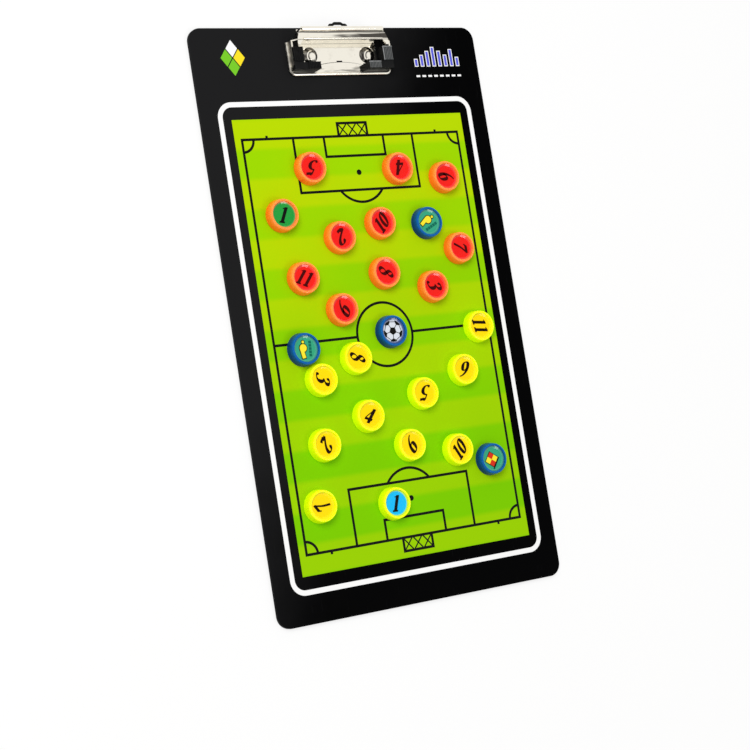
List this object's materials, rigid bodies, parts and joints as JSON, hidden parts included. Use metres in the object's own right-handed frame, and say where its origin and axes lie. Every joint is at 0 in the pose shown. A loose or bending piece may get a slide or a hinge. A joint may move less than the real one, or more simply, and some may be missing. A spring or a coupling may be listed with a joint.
{
  "type": "tactics board",
  "caption": "Black clipboard with a printed football pitch over a steel sheet, a sprung metal clip with rubber grips and round magnetic counters that slide over the field.",
  "frame": {"origin": "middle of the board's rear face, which lies on the surface below", "axes": "+X across the board to the right, +Y up the board towards the clip, +Z off the face with the field"},
  "size_m": [0.2, 0.3519, 0.0145],
  "materials": {
    "board_black": "satin black sheet",
    "sheet_steel": "plain sheet steel",
    "field_green": "printed film",
    "line_black": "printed film",
    "border_white": "printed film",
    "clip_chrome": "bright plating",
    "rod_steel": "plated steel",
    "spring_steel": "spring wire",
    "grip_rubber": "ribbed rubber",
    "loop_black": "black coated wire",
    "counter_orange": "moulded plastic",
    "counter_yellow": "moulded plastic",
    "counter_blue": "moulded plastic"
  },
  "bodies": {
    "board": {"rear_panel": "board_black", "steel_sheet": "sheet_steel", "front_panel": "board_black", "field_sheet": "field_green", "pitch_lines": "line_black", "border_line": "border_white", "clip_base": "clip_chrome", "clip_rivets": "clip_chrome", "rivet_washers": "rod_steel", "hinge_rod": "rod_steel", "spring_left": "spring_steel", "spring_right": "spring_steel"},
    "clip_jaw": {"clip_lever": "clip_chrome", "grip_left": "grip_rubber", "grip_right": "grip_rubber"},
    "hanging_loop": {"hanging_loop": "loop_black"},
    "ball_counter": {"ball_counter": "counter_blue"},
    "linesman_counter": {"linesman_counter": "counter_blue"},
    "orange_counter_01": {"orange_counter_01": "counter_orange"},
    "orange_counter_02": {"orange_counter_02": "counter_orange"},
    "orange_counter_03": {"orange_counter_03": "counter_orange"},
    "orange_counter_04": {"orange_counter_04": "counter_orange"},
    "orange_counter_05": {"orange_counter_05": "counter_orange"},
    "orange_counter_06": {"orange_counter_06": "counter_orange"},
    "orange_counter_07": {"orange_counter_07": "counter_orange"},
    "orange_counter_08": {"orange_counter_08": "counter_orange"},
    "orange_counter_09": {"orange_counter_09": "counter_orange"},
    "orange_counter_10": {"orange_counter_10": "counter_orange"},
    "orange_counter_11": {"orange_counter_11": "counter_orange"},
    "referee_counter_1": {"referee_counter_1": "counter_blue"},
    "referee_counter_2": {"referee_counter_2": "counter_blue"},
    "yellow_counter_01": {"yellow_counter_01": "counter_yellow"},
    "yellow_counter_02": {"yellow_counter_02": "counter_yellow"},
    "yellow_counter_03": {"yellow_counter_03": "counter_yellow"},
    "yellow_counter_04": {"yellow_counter_04": "counter_yellow"},
    "yellow_counter_05": {"yellow_counter_05": "counter_yellow"},
    "yellow_counter_06": {"yellow_counter_06": "counter_yellow"},
    "yellow_counter_07": {"yellow_counter_07": "counter_yellow"},
    "yellow_counter_08": {"yellow_counter_08": "counter_yellow"},
    "yellow_counter_09": {"yellow_counter_09": "counter_yellow"},
    "yellow_counter_10": {"yellow_counter_10": "counter_yellow"},
    "yellow_counter_11": {"yellow_counter_11": "counter_yellow"}
  },
  "joints": [
    {"name": "jaw_hinge", "type": "hinge", "parent": "board", "child": "clip_jaw", "pos_m": [0, 0.1685, 0.0083], "axis": [-1, 0, 0], "range_deg": [0, 22], "stiffness_Nm_per_rad": 0.2, "springref_deg": -28.65, "deforming": ["spring_left", "spring_right"]},
    {"name": "loop_hinge", "type": "hinge", "parent": "board", "child": "hanging_loop", "pos_m": [0, 0.1685, 0.0083], "axis": [-1, 0, 0], "range_deg": [0, 28]},
    {"name": "ball_counter_slide", "type": "slide", "parent": "board", "child": "ball_counter", "axis": [0, 1, 0], "range_m": [-0.012, 0.007]},
    {"name": "linesman_counter_slide", "type": "slide", "parent": "board", "child": "linesman_counter", "axis": [0, 1, 0], "range_m": [-0.03, 0.022]},
    {"name": "orange_counter_01_slide", "type": "slide", "parent": "board", "child": "orange_counter_01", "axis": [0, 1, 0], "range_m": [-0.009, 0.03]},
    {"name": "orange_counter_02_slide", "type": "slide", "parent": "board", "child": "orange_counter_02", "axis": [0, 1, 0], "range_m": [-0.011, 0.013]},
    {"name": "orange_counter_03_slide", "type": "slide", "parent": "board", "child": "orange_counter_03", "axis": [0, 1, 0], "range_m": [-0.029, 0.013]},
    {"name": "orange_counter_04_slide", "type": "slide", "parent": "board", "child": "orange_counter_04", "axis": [0, 1, 0], "range_m": [-0.011, 0.022]},
    {"name": "orange_counter_05_slide", "type": "slide", "parent": "board", "child": "orange_counter_05", "axis": [0, 1, 0], "range_m": [-0.012, 0.019]},
    {"name": "orange_counter_06_slide", "type": "slide", "parent": "board", "child": "orange_counter_06", "axis": [0, 1, 0], "range_m": [-0.008, 0.029]},
    {"name": "orange_counter_07_slide", "type": "slide", "parent": "board", "child": "orange_counter_07", "axis": [0, 1, 0], "range_m": [-0.014, 0.006]},
    {"name": "orange_counter_08_slide", "type": "slide", "parent": "board", "child": "orange_counter_08", "axis": [0, 1, 0], "range_m": [-0.007, 0.005]},
    {"name": "orange_counter_09_slide", "type": "slide", "parent": "board", "child": "orange_counter_09", "axis": [0, 1, 0], "range_m": [-0.004, 0.011]},
    {"name": "orange_counter_10_slide", "type": "slide", "parent": "board", "child": "orange_counter_10", "axis": [0, 1, 0], "range_m": [-0.004, 0.011]},
    {"name": "orange_counter_11_slide", "type": "slide", "parent": "board", "child": "orange_counter_11", "axis": [0, 1, 0], "range_m": [-0.011, 0.008]},
    {"name": "referee_counter_1_slide", "type": "slide", "parent": "board", "child": "referee_counter_1", "axis": [0, 1, 0], "range_m": [-0.005, 0.008]},
    {"name": "referee_counter_2_slide", "type": "slide", "parent": "board", "child": "referee_counter_2", "axis": [0, 1, 0], "range_m": [0, 0.01]},
    {"name": "yellow_counter_01_slide", "type": "slide", "parent": "board", "child": "yellow_counter_01", "axis": [0, 1, 0], "range_m": [-0.021, 0.01]},
    {"name": "yellow_counter_02_slide", "type": "slide", "parent": "board", "child": "yellow_counter_02", "axis": [0, 1, 0], "range_m": [-0.008, 0.008]},
    {"name": "yellow_counter_03_slide", "type": "slide", "parent": "board", "child": "yellow_counter_03", "axis": [0, 1, 0], "range_m": [-0.008, 0]},
    {"name": "yellow_counter_04_slide", "type": "slide", "parent": "board", "child": "yellow_counter_04", "axis": [0, 1, 0], "range_m": [-0.023, 0.007]},
    {"name": "yellow_counter_05_slide", "type": "slide", "parent": "board", "child": "yellow_counter_05", "axis": [0, 1, 0], "range_m": [-0.007, 0.012]},
    {"name": "yellow_counter_06_slide", "type": "slide", "parent": "board", "child": "yellow_counter_06", "axis": [0, 1, 0], "range_m": [-0.015, 0.006]},
    {"name": "yellow_counter_07_slide", "type": "slide", "parent": "board", "child": "yellow_counter_07", "axis": [0, 1, 0], "range_m": [-0.027, 0.007]},
    {"name": "yellow_counter_08_slide", "type": "slide", "parent": "board", "child": "yellow_counter_08", "axis": [0, 1, 0], "range_m": [-0.006, 0.004]},
    {"name": "yellow_counter_09_slide", "type": "slide", "parent": "board", "child": "yellow_counter_09", "axis": [0, 1, 0], "range_m": [-0.009, 0.007]},
    {"name": "yellow_counter_10_slide", "type": "slide", "parent": "board", "child": "yellow_counter_10", "axis": [0, 1, 0], "range_m": [-0.03, 0.015]},
    {"name": "yellow_counter_11_slide", "type": "slide", "parent": "board", "child": "yellow_counter_11", "axis": [0, 1, 0], "range_m": [-0.006, 0.014]}
  ]
}
